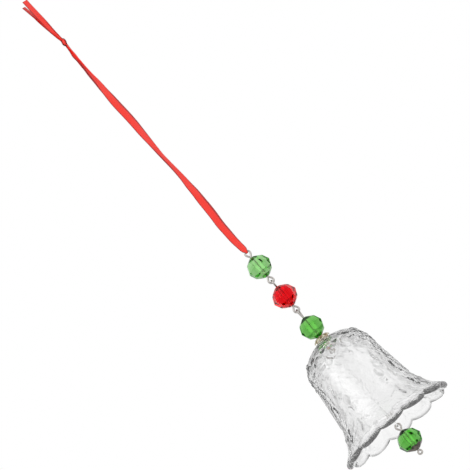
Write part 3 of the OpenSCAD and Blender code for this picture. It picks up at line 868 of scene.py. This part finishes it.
def camera():
    """The long lens that looks at the middle of the string, rolled by the string's lean."""
    data = bpy.data.cameras.new("camera")
    data.lens, data.sensor_width = CAMERA_LENS, CAMERA_SENSOR
    data.clip_start, data.clip_end = CAMERA_SEES
    made = bpy.data.objects.new("camera", data)
    bpy.context.scene.collection.objects.link(made)
    look = Vector((0, math.cos(CAMERA_LOOKS_UP), math.sin(CAMERA_LOOKS_UP)))
    up = Vector((0, -math.sin(CAMERA_LOOKS_UP), math.cos(CAMERA_LOOKS_UP)))
    side = Vector((1, 0, 0))
    right = math.cos(STRING_LEAN) * side - math.sin(STRING_LEAN) * up
    top = math.sin(STRING_LEAN) * side + math.cos(STRING_LEAN) * up
    turn = Matrix((right, top, -look)).transposed().to_4x4()
    made.matrix_world = Matrix.Translation(CAMERA_AIM - look * CAMERA_DISTANCE) @ turn
    bpy.context.scene.camera = made


def area_lamp(name, place, size, power):
    """A round soft lamp that faces the chime."""
    data = bpy.data.lights.new(name, "AREA")
    data.shape, data.size, data.energy = "DISK", size, power
    lamp = bpy.data.objects.new(name, data)
    bpy.context.scene.collection.objects.link(lamp)
    lamp.location = place
    lamp.rotation_euler = (LAMP_AIM - Vector(place)).to_track_quat("-Z", "Y").to_euler()


def studio():
    """White paper round a room. Glass and metal see it bright at their own height, and
    greyer overhead, underneath and in eight soft upright bands."""
    world = bpy.data.worlds.new("studio")
    bpy.context.scene.world = world
    world.use_nodes = True
    tree = world.node_tree
    tree.nodes.clear()
    out = tree.nodes.new("ShaderNodeOutputWorld")
    path = node(tree, "ShaderNodeLightPath")
    place = node(tree, "ShaderNodeTexCoord")
    part = node(tree, "ShaderNodeSeparateXYZ", {0: place.outputs["Generated"]})
    above = ranged(tree, part.outputs[2], OVERHEAD_STARTS, OVERHEAD_ENDS, 1, OVERHEAD_LEVEL)
    below = ranged(tree, part.outputs[2], UNDER_ENDS, UNDER_STARTS, UNDER_LEVEL, 1)
    level = node(tree, "ShaderNodeMath", {0: above, 1: below}, operation="MULTIPLY")
    turn = node(tree, "ShaderNodeMath", {0: part.outputs[1], 1: part.outputs[0]},
                operation="ARCTAN2")
    turns = node(tree, "ShaderNodeMath", {0: turn.outputs[0], 1: BANDS}, operation="MULTIPLY")
    wave = node(tree, "ShaderNodeMath", {0: turns.outputs[0]}, operation="COSINE")
    bands = ranged(tree, wave.outputs[0], -1, 1, BAND_LEVEL, 1)
    dark = node(tree, "ShaderNodeMath", {0: level.outputs[0], 1: bands}, operation="MULTIPLY")
    room = node(tree, "ShaderNodeBackground", {"Color": (1, 1, 1, 1), "Strength": dark.outputs[0]})
    plain = node(tree, "ShaderNodeBackground", {"Color": (1, 1, 1, 1), "Strength": EVEN_LIGHT})
    white = node(tree, "ShaderNodeBackground", {"Color": (1, 1, 1, 1), "Strength": 1.0})
    seen = node(tree, "ShaderNodeMath", {0: path.outputs["Is Glossy Ray"],
                                         1: path.outputs["Is Transmission Ray"]}, operation="MAXIMUM")
    first = node(tree, "ShaderNodeMixShader", {0: seen.outputs[0], 1: plain.outputs[0],
                                               2: room.outputs[0]})
    last = node(tree, "ShaderNodeMixShader", {0: path.outputs["Is Camera Ray"],
                                              1: first.outputs[0], 2: white.outputs[0]})
    tree.links.new(last.outputs[0], out.inputs[0])
    for lamp in LAMPS:
        area_lamp(*lamp)


def floor():
    """Pale matt floor under the hanging chime, seen from above only."""
    corners = [(x * FLOOR_HALF, y * FLOOR_HALF, FLOOR_Z) for x, y in ((-1, -1), (1, -1), (1, 1), (-1, 1))]
    mesh = mesh_from("floor", corners, [(0, 1, 2, 3)], False)
    material, tree, out = new_material("pale_floor")
    face = node(tree, "ShaderNodeNewGeometry")
    matt = node(tree, "ShaderNodeBsdfDiffuse", {"Color": linear(HEX["floor"])})
    gone = node(tree, "ShaderNodeBsdfTransparent")
    both = node(tree, "ShaderNodeMixShader", {0: face.outputs["Backfacing"], 1: matt.outputs[0],
                                              2: gone.outputs[0]})
    tree.links.new(both.outputs[0], out.inputs[0])
    new_piece("floor", mesh, material)


def build():
    """Makes every piece with its material, and then the stage."""
    bpy.context.scene.view_settings.view_transform = "Standard"
    camera()
    satin = satin_ribbon()
    for name, cad_node, side, tail in (
            ("satin_front_strand", "ribbon_front_strand", -1, FRONT_TAIL),
            ("satin_back_strand", "ribbon_back_strand", 1, BACK_TAIL)):
        piece, path = ribbon_strand(name, side, tail, satin)
        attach(piece, "ribbon")
        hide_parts(cad_node)
    knot = ribbon_knot(satin)
    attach(knot, "ribbon")
    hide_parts("ribbon_knot")

    for cad_node, turn, name, colour, density, slot in (
            ("top_bead", 8, "light_green_glass", HEX["light_green"], 230, "light_green_glass"),
            ("middle_bead", 22.5, "red_glass", HEX["red"], 520, "red_glass"),
            ("lower_bead", 0, "green_glass", HEX["green"], 430, "green_glass"),
            ("clapper_bead", 12, "clapper_green_glass", HEX["green"], 450, "green_glass")):
        bead = faceted_bead(cad_node + "_cut", cad_node, turn, cut_glass(name, colour, density))
    # The last bead, the clapper, has its lowest facets coated in a painted dark reflection
    bead.data.materials.append(dark_reflection_coat())
    for polygon in bead.data.polygons:
        polygon.material_index = int(polygon.normal.z < DARK_REFLECTION_FACES)

    pressed_bell(clear_glass())

    filigree_cap(gilt_brass())
    nickel = plated_wire("nickel_plated_wire", HEX["plated"])
    bright = plated_wire("bright_drawn_wire", HEX["bright"])
    for name, metal in (("top_bead_pin", nickel), ("middle_bead_pin", nickel),
                        ("bell_wire", nickel), ("clapper_pin", nickel),
                        ("clapper_link", bright), ("crown_washer", bright)):
        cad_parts[name].data.materials.clear()
        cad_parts[name].data.materials.append(metal)
    studio()
    floor()


build()
